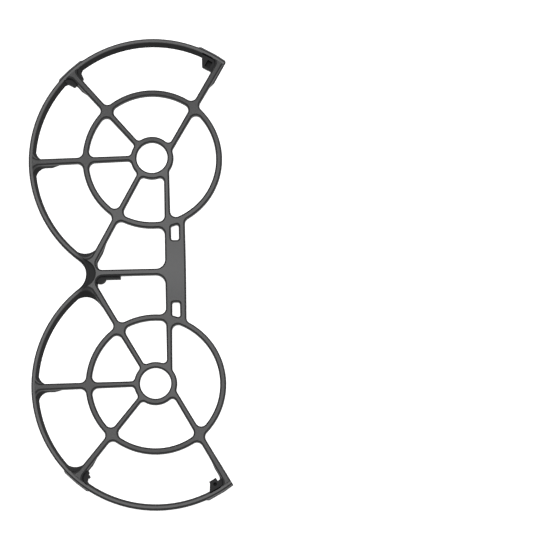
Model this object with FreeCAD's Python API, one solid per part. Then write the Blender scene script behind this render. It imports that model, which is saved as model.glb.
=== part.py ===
import FreeCAD, Part
import math
import os

from FreeCAD import Vector

os.makedirs("parts", exist_ok=True)

# Twin-lobe propeller guard for one side of a small quadcopter, moulded in one piece.
# Each lobe is a shallow dome of ribs over one propeller, inside a drafted outer rim.
# Y runs through the two motor axes, X points to the aircraft body, Z is up, millimetres.

# Plan of the two lobes
motor_spacing = 126.0
hub_bore_r = 8.6
hub_wall = 3.2
ring_mid_r = 37.2
ring_width = 2.8
rib_width = 2.7
rim_outer_r = 69.2
waist_blend_r = 10.0

# Ribs of one lobe: direction from the motor axis, and how far the rib passes to its left
end_rib_angle = 60.0
end_rib_offset = -6.2
corner_rib_angle = 130.5
corner_rib_offset = 1.1
side_rib_angle = 180.0
side_rib_offset = 0.0
waist_rib_angle = 240.0
waist_rib_offset = -1.4
plate_rib_angle = 270.0
plate_rib_offset = 7.9

# Heights and slopes
crown_height = 17.8
rib_rise = 2.0
rib_depth = 4.0
rib_draft = math.tan(math.radians(2.5))
valley_half = 9.0
crown_soft = 6.0
grid_across = 16
grid_along = 26
edge_chamfer = 0.8

# Rim wall
rim_height = 7.0
rim_crest = 1.1
rim_chamfer = 0.8
rim_foot = 3.7
rib_end_inset = 2.25
rib_end_waist_r = 7.8
root_reach = 8.5
root_slope = 5.0

# Roundings of the openings, seen from above
hub_round = 2.2
ring_round = 3.3
rim_round_foot = 5.8
rim_round_shrink = 0.15
tip_round_foot = 9.0
tip_round_shrink = 0.42
plate_round = 5.2
waist_round = 3.6
end_round = 3.6

# Name plate between the lobes, with a window at each end
plate_right = 17.2
window_left = 9.4
window_right = 14.4
window_near = 17.0
window_ring_gap = 0.4
window_round = 1.2

# Pads that thicken the rim's outside where the lower frame clips on
pad_stand = 0.6
pad_top = 6.2
pad_taper = 2.8
corner_pad_angle = 58.2
corner_pad_span = 16.0
rib_pad_angle = 131.05
rib_pad_span = 12.7

# Latches inside the rim, at the corner and under the corner rib
latch_lift = 0.6
latch_top = 6.0
latch_floor = 1.8
corner_latch_reach = 5.2
corner_latch_start = 57.6
corner_latch_end = 61.8
corner_latch_flare = 2.8
recess_width = 3.0
recess_length = 3.8
pin_hole_r = 1.0
hook_width = 1.4
hook_reach = 0.8
notch_depth = 2.0
rib_latch_angle = 131.8
rib_latch_reach = 4.8
rib_latch_width = 7.0
rib_latch_flare = 2.0
rear_latch_flare = 3.6
tooth_r = 0.8
rear_round = 8.0
rear_span = 14.0

# Latch block and post under the bar and the waist
bar_latch_start = -27.0
bar_latch_end = -18.8
bar_latch_width = 4.8
bar_latch_shift = -0.6
waist_post_r = 3.4
waist_post_x = -30.1
waist_post_shift = -2.0

half_spacing = motor_spacing / 2
rib_end_r = rim_outer_r - rib_end_inset
crown_arm = math.hypot(hub_bore_r, crown_soft)
dome_slope = (crown_height - rim_height - rib_rise) / (math.hypot(rib_end_r, crown_soft) - crown_arm)
hub_outer_r = hub_bore_r + hub_wall
rim_draft = (rim_foot - rim_crest - rim_chamfer) / rim_height
z_low = -1.0
z_high = crown_height + 1.2
far = 3 * rim_outer_r
motor = Vector(0, half_spacing, 0)


def polar(radius, angle):
    """A vector of this length at this angle from +X."""
    return Vector(radius * math.cos(math.radians(angle)), radius * math.sin(math.radians(angle)), 0)


# Sides of an outline, met anticlockwise, with the opening on the left of each

def straight(angle, offset, origin=motor):
    """A straight side with this direction, whose line passes this far to the left of the origin."""
    along = polar(1, angle)
    left = Vector(-along.y, along.x, 0)
    return {"along": along, "left": left, "point": origin + left * offset}


def circle(radius, inside, centre=motor):
    """A round side: the opening is inside the circle, or outside it."""
    return {"centre": centre, "radius": radius, "inside": inside}


def shifted(side, distance):
    """The same side moved into the opening."""
    if "along" in side:
        return dict(side, point=side["point"] + side["left"] * distance)
    return dict(side, radius=side["radius"] + (-distance if side["inside"] else distance))


def crossing(first, second):
    """Where a side meets the next one."""
    if "along" in first and "along" in second:
        gap = second["point"] - first["point"]
        turn = first["along"].cross(second["along"]).z
        return first["point"] + first["along"] * (gap.cross(second["along"]).z / turn)
    line, round_side = (first, second) if "along" in first else (second, first)
    back = line["point"] - round_side["centre"]
    mid = -back.dot(line["along"])
    half_chord = math.sqrt(round_side["radius"] ** 2 - back.dot(back) + mid ** 2)
    leaving = round_side["inside"] == (line is first)
    return line["point"] + line["along"] * (mid + (half_chord if leaving else -half_chord))


def foot(side, centre):
    """The point of a side that a corner arc about this centre touches."""
    if "along" in side:
        return centre - side["left"] * (centre - side["point"]).dot(side["left"])
    away = centre - side["centre"]
    return side["centre"] + away * (side["radius"] / away.Length)


def arc_about(centre, start, end, clockwise):
    """An arc from start to end about a centre."""
    first = math.atan2(start.y - centre.y, start.x - centre.x)
    sweep = (math.atan2(end.y - centre.y, end.x - centre.x) - first) % (2 * math.pi)
    if clockwise:
        sweep -= 2 * math.pi
    middle = math.degrees(first + sweep / 2)
    return Part.Arc(start, centre + polar((start - centre).Length, middle), end).toShape()


def outline(sides, roundings, height):
    """A closed wire along the sides, with each corner, after its side, rounded."""
    count = len(sides)
    corners = []
    for i in range(count):
        following = sides[(i + 1) % count]
        centre = crossing(shifted(sides[i], roundings[i]), shifted(following, roundings[i]))
        corners.append((foot(sides[i], centre), centre, foot(following, centre)))
    edges = []
    for i in range(count):
        start = corners[i - 1][2]
        end, centre, next_start = corners[i]
        if "along" in sides[i]:
            edges.append(Part.LineSegment(start, end).toShape())
        else:
            edges.append(arc_about(sides[i]["centre"], start, end, not sides[i]["inside"]))
        middle = (end + next_start) * 0.5 - centre
        through = centre + middle * (roundings[i] / middle.Length)
        edges.append(Part.Arc(end, through, next_start).toShape())
    wire = Part.Wire(edges)
    wire.translate(Vector(0, 0, height))
    return wire


def drafted(section):
    """The drafted solid whose outline at each height comes from section."""
    return Part.makeLoft([section(z_low), section(z_high)], True, True)


def both_lobes(solids):
    """The solids and their mirror images in the other lobe."""
    return solids + [s.mirror(Vector(), Vector(0, 1, 0)) for s in solids]


def swell(height):
    """How much wider the draft makes a rib, on each side, than at the crown."""
    return (crown_height - height) * rib_draft


ribs = {
    "end": (end_rib_angle, end_rib_offset),
    "corner": (corner_rib_angle, corner_rib_offset),
    "side": (side_rib_angle, side_rib_offset),
    "waist": (waist_rib_angle, waist_rib_offset),
    "plate": (plate_rib_angle, plate_rib_offset),
}


def left_of(name, height):
    """The left side of a rib, followed outwards."""
    angle, offset = ribs[name]
    return straight(angle, offset + rib_width / 2 + swell(height))


def right_of(name, height):
    """The right side of a rib, followed inwards."""
    angle, offset = ribs[name]
    return straight(angle + 180, -(offset - rib_width / 2 - swell(height)))


def rim_inner_r(height):
    """Radius of the rim's drafted inner face."""
    return rim_outer_r - rim_foot + rim_draft * height


def rim_round(height):
    """Rounding between a rib and the rim, wider towards the foot."""
    return rim_round_foot - rim_round_shrink * height


def tip_round(height):
    """Rounding of the narrow corner between the waist rib and the rim."""
    return tip_round_foot - tip_round_shrink * height


# Openings of one lobe

def inner_opening(first, second):
    """Between two ribs, the hub and the ring."""
    def section(height):
        sides = [
            left_of(first, height),
            circle(ring_mid_r - ring_width / 2 - swell(height), True),
            right_of(second, height),
            circle(hub_outer_r + swell(height), False),
        ]
        return outline(sides, [ring_round, ring_round, hub_round, hub_round], height)
    return drafted(section)


def outer_opening(first, second, first_round=rim_round):
    """Between two ribs, the ring and the rim; it ends just inside the rim, which has its own inner face."""
    def section(height):
        sides = [
            left_of(first, height),
            circle(rim_inner_r(height) + 0.3, True),
            right_of(second, height),
            circle(ring_mid_r + ring_width / 2 + swell(height), False),
        ]
        last_round = tip_round(height) if second == "waist" else rim_round(height)
        return outline(sides, [first_round(height), last_round, ring_round, ring_round], height)
    return drafted(section)


def plate_opening():
    """Between the waist rib, the ring, the plate and the bar across the waist."""
    def section(height):
        bar_half = rib_width / 2 + swell(height)
        sides = [
            straight(0, bar_half, Vector()),
            straight(90, -(plate_rib_offset - bar_half), Vector()),
            circle(ring_mid_r + ring_width / 2 + swell(height), False),
            left_of("waist", height),
        ]
        return outline(sides, [plate_round, end_round, ring_round, waist_round], height)
    return drafted(section)


def window():
    """The window in the end of the plate, cut back along the ring."""
    def section(height):
        inset = swell(height)
        sides = [
            straight(0, window_near + inset, Vector()),
            straight(90, -(window_right - inset), Vector()),
            circle(ring_mid_r + ring_width / 2 + window_ring_gap + inset, False),
            straight(270, window_left + inset, Vector()),
        ]
        return outline(sides, [window_round] * 4, height)
    return drafted(section)


def open_side():
    """Everything beyond the end ribs, the rings and the plate, on the body side."""
    def section(height):
        other = Vector(0, -half_spacing, 0)
        spread = rib_width / 2 + swell(height)
        ring_edge = ring_mid_r + ring_width / 2 + swell(height)
        sides = [
            straight(90, -far, Vector()),
            right_of("end", height),
            circle(ring_edge, False),
            straight(270, plate_right + swell(height), Vector()),
            circle(ring_edge, False, other),
            straight(-end_rib_angle, -(end_rib_offset - spread), other),
        ]
        return outline(sides, [1.0, ring_round, end_round, end_round, ring_round, 1.0], height)
    return drafted(section)


# Plan of the whole guard at one radius about the motors

def guard_outline(radius, waist_r, height):
    """Two arcs about the motors, joined by a hollow arc at the waist and closed on the body side."""
    reach = radius + waist_r
    waist = Vector(-math.sqrt(reach ** 2 - half_spacing ** 2), 0, 0)
    touch = motor + (waist - motor) * (radius / reach)
    lower_touch = Vector(touch.x, -touch.y, 0)
    start = motor + Vector(radius, 0, 0)
    end = Vector(start.x, -start.y, 0)
    wire = Part.Wire([
        arc_about(motor, start, touch, False),
        arc_about(waist, touch, lower_touch, True),
        arc_about(Vector(0, -half_spacing, 0), lower_touch, end, False),
        Part.LineSegment(end, start).toShape(),
    ])
    wire.translate(Vector(0, 0, height))
    return wire


def slab(wire, thickness):
    """A flat plate with this outline."""
    return Part.Face(wire).extrude(Vector(0, 0, thickness))


def dome_height(x, y):
    """Top of the ribs: it falls away from each motor axis, and is smooth at the crowns and in the valley."""
    across = math.hypot(y, valley_half) - math.hypot(half_spacing, valley_half)
    return crown_height - dome_slope * (math.sqrt(x * x + across * across + crown_soft ** 2) - crown_arm)


def dome():
    """The sheet that the ribs are cut from, one rib deep."""
    reach = rim_outer_r * 1.15
    across = [reach * (2 * i / grid_across - 1) for i in range(grid_across + 1)]
    along = [(reach + half_spacing) * (2 * i / grid_along - 1) for i in range(grid_along + 1)]
    underside = Part.BSplineSurface()
    underside.interpolate([[Vector(x, y, dome_height(x, y) - rib_depth) for y in along] for x in across])
    return underside.toShape().extrude(Vector(0, 0, rib_depth))


def crown_faces(solid):
    """The faces that look almost straight up."""
    faces = []
    for face in solid.Faces:
        u_first, u_last, v_first, v_last = face.ParameterRange
        if face.normalAt((u_first + u_last) / 2, (v_first + v_last) / 2).z > 0.95:
            faces.append(face)
    return faces


def on_rib_end(edge):
    """Whether an edge lies on the upright wall where the ribs end above the rim, or on the cut at y = 0."""
    middle = edge.valueAt((edge.FirstParameter + edge.LastParameter) / 2)
    waist = Vector(-math.sqrt((rib_end_r + rib_end_waist_r) ** 2 - half_spacing ** 2), 0, 0)
    to_motor = math.hypot(middle.x, middle.y - half_spacing)
    to_waist = math.hypot(middle.x - waist.x, middle.y)
    return middle.y < 0.001 or abs(to_motor - rib_end_r) < 0.02 or abs(to_waist - rib_end_waist_r) < 0.02


def with_bevel(solid, edges):
    """The solid with these edges bevelled, or None if they can't be."""
    try:
        result = solid.makeChamfer(edge_chamfer, edges)
    except Exception:
        return None
    return result if not result.isNull() and result.isValid() else None


def bevelled(solid):
    """The solid with the top edges of its openings bevelled, leaving out a loop that can't take it."""
    loops = []
    for face in crown_faces(solid):
        edges = [e for e in face.Edges if not on_rib_end(e) and not e.isSeam(face)]
        loops += Part.sortEdges(edges)
    result = with_bevel(solid, [e for loop in loops for e in loop])
    sound = []
    if result is None:
        for loop in loops:
            tried = with_bevel(solid, sound + loop)
            if tried is not None:
                result = tried
                sound += loop
    return result


def roots():
    """A band inside the rim, sloped back to its foot: what the openings leave of it are the roots of the ribs."""
    outer = slab(guard_outline(rim_outer_r - 1.5, waist_blend_r + 1.5, 0), rim_height - 0.3)
    inner = []
    for height, reach in ((z_low, rim_foot + root_reach), (rim_height, rim_foot + root_reach + root_slope)):
        inner.append(guard_outline(rim_outer_r - reach, waist_blend_r + reach, height))
    return outer.cut(Part.makeLoft(inner, True, True))


def lobe():
    """The ribs, rings, bar and plate of the lobe at +Y, down to y = 0."""
    wall = slab(guard_outline(rib_end_r, rib_end_waist_r, -rim_height), 3 * crown_height)
    half = Part.makeBox(2 * far, far, 2 * far, Vector(-far, 0, -far))
    openings = [
        inner_opening("end", "corner"),
        inner_opening("corner", "side"),
        inner_opening("side", "waist"),
        inner_opening("waist", "plate"),
        inner_opening("plate", "end"),
        outer_opening("end", "corner"),
        outer_opening("corner", "side"),
        outer_opening("side", "waist"),
        plate_opening(),
        window(),
        Part.makeCylinder(hub_bore_r, 3 * crown_height, motor - Vector(0, 0, crown_height)),
        open_side(),
    ]
    solid = dome().common(wall).common(half).fuse(roots().common(half))
    return bevelled(solid.cut(openings))


def rim():
    """The outer rim: upright outside with a bevelled crest, drafted inside."""
    solid = slab(guard_outline(rim_outer_r, waist_blend_r, 0), rim_height)
    crest = [e for f in crown_faces(solid) for e in f.Edges if e.BoundBox.XMin < rim_outer_r - 0.01]
    solid = solid.makeChamfer(rim_chamfer, crest)
    core = [guard_outline(rim_inner_r(z), waist_blend_r + rim_outer_r - rim_inner_r(z), z)
            for z in (z_low, rim_height + 1)]
    return solid.cut(Part.makeLoft(core, True, True))


def prism(points, low, high):
    """An upright block on a plan of points."""
    corners = [Vector(p.x, p.y, low) for p in points]
    return Part.Face(Part.makePolygon(corners + corners[:1])).extrude(Vector(0, 0, high - low))


def around(radius, angle):
    """The point at this radius and angle about the motor axis."""
    return motor + polar(radius, angle)


def pad(middle, span):
    """A flat on the rim's outside, a little proud of it and tapered at both ends."""
    corner_r = (rim_outer_r + pad_stand) / math.cos(math.radians(span / 4))
    plan = [
        around(rim_outer_r - 0.8, middle - span / 2 - pad_taper),
        around(corner_r, middle - span / 2),
        around(rim_outer_r + pad_stand, middle),
        around(corner_r, middle + span / 2),
        around(rim_outer_r - 0.8, middle + span / 2 + pad_taper),
        around(rim_outer_r - 1.6, middle),
    ]
    return prism(plan, 0, pad_top)


def corner_block(reach, notch):
    """The latch block inside the corner: its inner face, the flank that flares to the rim, and the rim."""
    face_r = rim_inner_r(0) - reach
    root_r = rim_inner_r(0) + 1
    plan = [
        around(face_r + notch, corner_latch_start - 5),
        around(root_r, corner_latch_start - 5),
        around(root_r, (corner_latch_start + corner_latch_end) / 2),
        around(root_r, corner_latch_end + corner_latch_flare),
        around(face_r, corner_latch_end),
        around(face_r, corner_latch_start + 0.7),
        around(face_r + notch, corner_latch_start + 0.7),
    ]
    return prism(plan, latch_lift, latch_top)


def box_along(radius, angle, length, width, low, high):
    """A block centred at this radius and angle, with its length along the radius."""
    block = Part.makeBox(length, width, high - low, Vector(-length / 2, -width / 2, low))
    block.rotate(Vector(), Vector(0, 0, 1), angle)
    block.translate(around(radius, angle))
    return block


def front_corner_latch():
    """A block with a blind square recess that the hook of the lower frame enters."""
    middle = (corner_latch_start + corner_latch_end) / 2
    recess_r = rim_inner_r(0) - corner_latch_reach / 2 + 0.2
    recess = box_along(recess_r, middle - 0.4, recess_length, recess_width, latch_floor, 2 * latch_top)
    return corner_block(corner_latch_reach, 0.2).cut(recess)


def rear_corner_latch():
    """A block with a blind pin hole, a notch beside the rib and a hook at each end of its inner face."""
    face_r = rim_inner_r(0) - corner_latch_reach
    solid = corner_block(corner_latch_reach - hook_reach, notch_depth)
    pin_hole = Part.makeCylinder(
        pin_hole_r, latch_top, around(face_r + 3.6, corner_latch_end - 1.5) + Vector(0, 0, latch_floor))
    hooks = [
        box_along(face_r + hook_reach + 0.5, angle, 2 * hook_reach, hook_width, latch_lift, latch_top / 2)
        for angle in (corner_latch_start + 1.3, corner_latch_end - 0.2)
    ]
    return solid.fuse(hooks).cut(pin_hole)


def rib_latch(flare):
    """The block under the corner rib, tapering inwards from the rim."""
    out = polar(1, rib_latch_angle)
    across = Vector(-out.y, out.x, 0)
    root = motor + out * (rim_inner_r(0) + 1)
    nose = motor + out * (rim_inner_r(0) - rib_latch_reach)
    half_nose = across * (rib_latch_width / 2)
    half_root = across * (rib_latch_width / 2 + flare)
    return prism([nose - half_nose, root - half_root, root + half_root, nose + half_nose], latch_lift, latch_top)


def rear_rib_latch():
    """Half of that block with two teeth on its flank, and a wide rounding on the other side of the rib."""
    inner = rim_inner_r(0) - rear_round - 1
    outer = rim_outer_r - 1.5
    plan = [
        around(inner, rib_latch_angle),
        around(outer, rib_latch_angle),
        around(outer, rib_latch_angle + rear_span),
        around(inner, rib_latch_angle + rear_span),
    ]
    half = rib_latch(rear_latch_flare).cut(prism(plan, -latch_top, 2 * latch_top))
    gusset = prism(plan, latch_lift, latch_top).cut(outer_opening("corner", "side", lambda height: rear_round))
    feet = [
        around(rim_inner_r(0) - 2.8, rib_latch_angle - 4.5),
        around(rim_inner_r(0) - 4.3, rib_latch_angle - 2.8),
    ]
    teeth = [Part.makeCylinder(tooth_r, latch_top - latch_lift, f + Vector(0, 0, latch_lift)) for f in feet]
    return half.fuse(teeth + [gusset])


def bar_latch():
    """The block and the round post under the bar and the waist."""
    tall = latch_top + 1 - latch_lift
    block = Part.makeBox(
        bar_latch_end - bar_latch_start, bar_latch_width, tall,
        Vector(bar_latch_start, bar_latch_shift - bar_latch_width / 2, latch_lift))
    post = Part.makeCylinder(waist_post_r, tall, Vector(waist_post_x, waist_post_shift, latch_lift))
    return [block, post]


def mirrored(solid):
    """The same solid in the rear lobe."""
    return solid.mirror(Vector(), Vector(0, 1, 0))


fittings = both_lobes([pad(corner_pad_angle, corner_pad_span), pad(rib_pad_angle, rib_pad_span)])
fittings += [front_corner_latch(), rib_latch(rib_latch_flare)]
fittings += [mirrored(rear_corner_latch()), mirrored(rear_rib_latch())]
edge = rim().fuse(fittings).cut(open_side())
front_ribs = lobe()
guard = front_ribs.fuse([mirrored(front_ribs), edge] + bar_latch())
box = guard.optimalBoundingBox()
guard.translate(Vector(-box.Center.x, -box.Center.y, -box.ZMin))
guard.exportStep("parts/guard_frame.step")
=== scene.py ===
import math

import bpy
from mathutils import Matrix, Vector


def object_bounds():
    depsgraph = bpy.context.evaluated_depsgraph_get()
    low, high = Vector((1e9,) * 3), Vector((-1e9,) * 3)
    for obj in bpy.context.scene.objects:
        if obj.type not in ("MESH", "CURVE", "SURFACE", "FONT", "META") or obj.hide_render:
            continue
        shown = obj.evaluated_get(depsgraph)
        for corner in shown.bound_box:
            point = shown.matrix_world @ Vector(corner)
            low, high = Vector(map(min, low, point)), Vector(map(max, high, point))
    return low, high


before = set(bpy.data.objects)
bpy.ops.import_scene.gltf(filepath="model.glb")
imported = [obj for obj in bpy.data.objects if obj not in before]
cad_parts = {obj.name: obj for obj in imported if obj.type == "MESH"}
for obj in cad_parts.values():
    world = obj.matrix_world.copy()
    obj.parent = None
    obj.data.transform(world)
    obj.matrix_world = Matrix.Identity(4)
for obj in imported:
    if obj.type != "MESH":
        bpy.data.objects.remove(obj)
cad_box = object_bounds()


# The guard
# The real guard is one injection moulding in dark grey nylon. The ribs and the plate have a
# fine satin texture and shine more than they colour, so their flat crowns read lighter than
# their bevels. The rim's wall, the latches and the crest at the waist get a darker, rougher, less
# glossy copy of the nylon: painted shade.
MOULDING_GREY = (0.018, 0.018, 0.019, 1.0)
MOULDING_ROUGHNESS = 0.30
MOULDING_GLOSS = 0.5
# Painted shade: a darker, rougher and less glossy copy of the nylon for the faces below a given
# height.
PAINTED_SHADE_GREY = (0.010, 0.010, 0.011, 1.0)
PAINTED_SHADE_ROUGHNESS = 0.55
PAINTED_SHADE_GLOSS = 0.2
PAINTED_SHADE_TOP = 0.0061
# Painted shade at the waist: below a higher top, and fading out between two distances from the
# middle.
WAIST_SHADE_TOP = 0.0072
WAIST_SHADE_INNER = 0.007
WAIST_SHADE_OUTER = 0.012
GRAIN_SIZE = 0.00045
GRAIN_HEIGHT = 0.000012
GRAIN_DETAIL = 2.0
GRAIN_STRENGTH = 0.4
GRAIN_MEAN = 0.5
GRAIN_ROUGHNESS = 0.10


class Socket:
    """A shader socket that takes part in Python expressions; each operator adds a Math node."""

    def __init__(self, tree, link):
        self.tree = tree
        self.link = link

    def math(self, operation, other, reflected=False):
        pair = (other, self) if reflected else (self, other)
        return node(self.tree, "ShaderNodeMath", {"operation": operation}, {0: pair[0], 1: pair[1]})

    def __add__(self, other):
        return self.math("ADD", other)

    def __sub__(self, other):
        return self.math("SUBTRACT", other)

    def __mul__(self, other):
        return self.math("MULTIPLY", other)

    def __gt__(self, other):
        return self.math("GREATER_THAN", other)

    def __abs__(self):
        return self.math("ABSOLUTE", 0.0)

    def __rsub__(self, other):
        return self.math("SUBTRACT", other, True)

    __radd__ = __add__
    __rmul__ = __mul__


def node(tree, kind, settings=None, sockets=None, output=0):
    """A new node with these settings and socket values or links; gives one of its outputs."""
    made = tree.nodes.new(kind)
    for name, value in (settings or {}).items():
        setattr(made, name, value)
    for name, value in (sockets or {}).items():
        if isinstance(value, Socket):
            tree.links.new(value.link, made.inputs[name])
        else:
            made.inputs[name].default_value = value
    return Socket(tree, made.outputs[output])


def nylon(tree, grey, roughness, gloss, grain):
    """Nylon of one texture; its grain also varies the roughness a little."""
    normal = node(tree, "ShaderNodeBump", {}, {
        "Height": grain,
        "Strength": GRAIN_STRENGTH,
        "Distance": GRAIN_HEIGHT,
    })
    return node(tree, "ShaderNodeBsdfPrincipled", {}, {
        "Base Color": grey,
        "Roughness": (grain - GRAIN_MEAN) * GRAIN_ROUGHNESS + roughness,
        "Specular IOR Level": gloss,
        "Normal": normal,
    })


def moulding_material():
    """Satin nylon on the crowns. Below a given height, and at the waist below a higher one, a
    darker and less glossy copy of it: painted shade.
    """
    material = bpy.data.materials.new("moulding")
    material.use_nodes = True
    tree = material.node_tree
    tree.nodes.clear()
    place = node(tree, "ShaderNodeTexCoord", output="Object")
    grain = node(tree, "ShaderNodeTexNoise", {"noise_dimensions": "3D"},
                 {"Vector": place, "Scale": 1 / GRAIN_SIZE, "Detail": GRAIN_DETAIL}, "Fac")
    beside = abs(node(tree, "ShaderNodeSeparateXYZ", {}, {"Vector": place}, "Y"))
    height = node(tree, "ShaderNodeSeparateXYZ", {}, {"Vector": place}, "Z")
    past_waist = node(tree, "ShaderNodeMapRange", {"interpolation_type": "SMOOTHSTEP"},
                      {"Value": beside, "From Min": WAIST_SHADE_INNER, "From Max": WAIST_SHADE_OUTER})
    # Mask of painted shade: the low faces, and the crest at the waist below a higher top.
    unshaded = (height > PAINTED_SHADE_TOP) * past_waist
    unshaded = unshaded.math("MAXIMUM", height > WAIST_SHADE_TOP)
    satin = nylon(tree, MOULDING_GREY, MOULDING_ROUGHNESS, MOULDING_GLOSS, grain)
    # The darker, less glossy copy of the nylon: painted shade.
    painted_shade_copy = nylon(tree, PAINTED_SHADE_GREY, PAINTED_SHADE_ROUGHNESS, PAINTED_SHADE_GLOSS, grain)
    shader = node(tree, "ShaderNodeMixShader", {}, {0: unshaded, 1: painted_shade_copy, 2: satin})
    node_out = tree.nodes.new("ShaderNodeOutputMaterial")
    tree.links.new(shader.link, node_out.inputs["Surface"])
    return material


guard = bpy.data.objects["guard_frame"]
guard.material_slots[0].material = moulding_material()


# The floor
# A sheet of matt white paper under the rim's foot, which runs far past the picture on every
# side. It glows enough to read as pure white, and the guard doesn't take its light or mirror it.
FLOOR_HALF = 1.5
FLOOR_WHITE = (0.90, 0.90, 0.90, 1.0)
FLOOR_ROUGHNESS = 0.9
FLOOR_GLOW = 0.75

floor_z = cad_box[0][2]
corners = ((-FLOOR_HALF, -FLOOR_HALF), (FLOOR_HALF, -FLOOR_HALF),
           (FLOOR_HALF, FLOOR_HALF), (-FLOOR_HALF, FLOOR_HALF))
floor_mesh = bpy.data.meshes.new("floor")
floor_mesh.from_pydata([(x, y, floor_z) for x, y in corners], [], [(0, 1, 2, 3)])
floor = bpy.data.objects.new("floor", floor_mesh)
bpy.context.scene.collection.objects.link(floor)
paper = bpy.data.materials.new("paper")
paper.use_nodes = True
paper_sockets = paper.node_tree.nodes["Principled BSDF"].inputs
paper_sockets["Base Color"].default_value = FLOOR_WHITE
paper_sockets["Roughness"].default_value = FLOOR_ROUGHNESS
paper_sockets["Specular IOR Level"].default_value = 0.0
paper_sockets["Emission Color"].default_value = (1, 1, 1, 1)
paper_sockets["Emission Strength"].default_value = FLOOR_GLOW
floor_mesh.materials.append(paper)
floor.visible_glossy = False
floor.visible_diffuse = False


# The lights
# One square softbox hangs over the guard, a little towards its front, and gives the flat crowns
# their gloss. The room around it is dim and even, so the walls of the ribs stay dark.
SOFTBOX_SIZE = 1.1
SOFTBOX_PLACE = (0.0, 0.15, 1.3)
SOFTBOX_POWER = 12.0
ROOM_LIGHT = 0.45

softbox_light = bpy.data.lights.new("softbox", "AREA")
softbox_light.shape = "SQUARE"
softbox_light.size = SOFTBOX_SIZE
softbox_light.energy = SOFTBOX_POWER
softbox = bpy.data.objects.new("softbox", softbox_light)
softbox.location = SOFTBOX_PLACE
bpy.context.scene.collection.objects.link(softbox)

room = bpy.data.worlds.new("room")
room.use_nodes = True
room.node_tree.nodes["Background"].inputs["Color"].default_value = (1, 1, 1, 1)
room.node_tree.nodes["Background"].inputs["Strength"].default_value = ROOM_LIGHT
bpy.context.scene.world = room
bpy.context.scene.view_settings.view_transform = "Standard"


# The camera
# A long lens, high above the guard and a little towards its rear, as in the photograph.
# The guard lies in the left half of the picture, turned slightly anticlockwise.
CAMERA_PLACE = Vector((0.07508, -0.2973, 2.2011))
CAMERA_TARGET = Vector((0.08071, -0.00422, 0.0176))
CAMERA_TURN = math.radians(1.15)
SENSOR_WIDTH = 36.0
FOCAL_OVER_WIDTH = 3982.7 / 550

ahead = (CAMERA_TARGET - CAMERA_PLACE).normalized()
along_y = Vector((0, 1, 0))
along_y = (along_y - ahead * along_y.dot(ahead)).normalized()
beside_y = ahead.cross(along_y)
up = along_y * math.cos(CAMERA_TURN) + beside_y * math.sin(CAMERA_TURN)
right = ahead.cross(up)
turn = Matrix((right, up, -ahead)).transposed()

camera_lens = bpy.data.cameras.new("camera")
camera_lens.sensor_width = SENSOR_WIDTH
camera_lens.lens = SENSOR_WIDTH * FOCAL_OVER_WIDTH
camera = bpy.data.objects.new("camera", camera_lens)
camera.matrix_world = Matrix.Translation(CAMERA_PLACE) @ turn.to_4x4()
bpy.context.scene.collection.objects.link(camera)
bpy.context.scene.camera = camera
